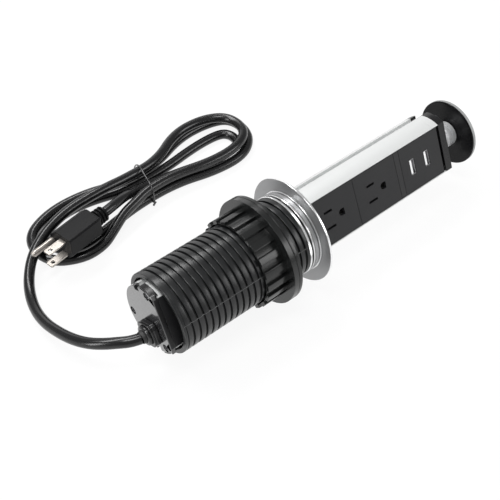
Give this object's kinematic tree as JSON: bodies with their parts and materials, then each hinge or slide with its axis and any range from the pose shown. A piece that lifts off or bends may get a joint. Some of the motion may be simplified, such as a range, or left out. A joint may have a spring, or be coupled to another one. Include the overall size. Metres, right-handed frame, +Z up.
{
  "type": "desk grommet socket",
  "caption": "Pull-up desk socket: D-section tower with outlets and chargers slides in a flanged threaded sleeve with a clamp nut, with a hanked cord.",
  "frame": {"origin": "On the plane that the part lies on, under the middle of its length without the cord.", "axes": "+X along the tower towards its cap, +Z up as it lies, the outlet side leaning to -Y."},
  "size_m": [0.3434, 0.2136, 0.082],
  "materials": {
    "bezel_metal": "satin with a fine turned sheen",
    "rail_metal": "near-white satin anodised",
    "sleeve_plastic": "moulded black, slight sheen",
    "nut_plastic": "moulded black, slight sheen",
    "panel_plastic": "fine satin black",
    "cap_plastic": "gloss black",
    "body_plastic": "dark grey moulded",
    "pad_felt": "dense felt",
    "contact_metal": "stamped brass",
    "socket_metal": "nickel-plated steel",
    "tongue_plastic": "white moulded",
    "board_green": "green board",
    "wire_jacket": "insulated cores",
    "screw_metal": "zinc-plated steel",
    "stem_metal": "polished",
    "trim_metal": "satin",
    "gland_rubber": "black rubber",
    "cord_jacket": "smooth black jacket",
    "plug_rubber": "moulded black",
    "blade_metal": "nickel-plated",
    "tie_wire": "coated wire"
  },
  "bodies": {
    "housing": {"bezel_ring": "bezel_metal", "guide_sleeve": "sleeve_plastic", "guide_collar": "sleeve_plastic", "friction_pads": "pad_felt"},
    "clamp_ring": {"clamp_washer": "nut_plastic"},
    "clamp_nut": {"clamp_nut": "nut_plastic"},
    "tower": {"tower_rail": "rail_metal", "blank_panel": "panel_plastic", "outlet_face_lower": "panel_plastic", "outlet_face_upper": "panel_plastic", "spacer_strip": "panel_plastic", "usb_face": "panel_plastic", "outlet_body_lower": "body_plastic", "outlet_body_upper": "body_plastic", "line_busbar": "contact_metal", "neutral_busbar": "contact_metal", "ground_busbar": "contact_metal", "usb_shells": "socket_metal", "usb_tongues": "tongue_plastic", "usb_board": "board_green", "core_wires": "wire_jacket", "end_block": "panel_plastic", "top_screws": "screw_metal", "bottom_cap": "cap_plastic", "bottom_screws": "screw_metal", "gland_base": "cap_plastic", "gland_nut": "cap_plastic", "gland_bush": "gland_rubber", "cord_tube": "cord_jacket", "cord_hank": "cord_jacket", "plug_body": "plug_rubber", "plug_blades": "blade_metal", "ground_pin": "blade_metal", "twist_tie": "tie_wire"},
    "cap_plunger": {"cap_stem": "stem_metal", "cap_disc": "cap_plastic", "cap_trim": "trim_metal", "cap_screw": "screw_metal"}
  },
  "joints": [
    {"name": "nut_travel", "type": "slide", "parent": "housing", "child": "clamp_ring", "axis": [1, 0, 0], "range_m": [-0.0624, 0.0156]},
    {"name": "nut_turn", "type": "hinge", "parent": "clamp_ring", "child": "clamp_nut", "pos_m": [-0.0469, 0, 0.041], "axis": [1, 0, 0], "range_deg": [-4320, 1080]},
    {"name": "tower_slide", "type": "slide", "parent": "housing", "child": "tower", "axis": [1, 0, 0], "range_m": [-0.1554, 0.0038]},
    {"name": "cap_press", "type": "slide", "parent": "tower", "child": "cap_plunger", "axis": [1, 0, 0], "range_m": [-0.0124, 0]}
  ],
  "couplings": [
    {"joint": "nut_travel", "follows": "nut_turn", "m_per_rad": 0.00082761}
  ]
}
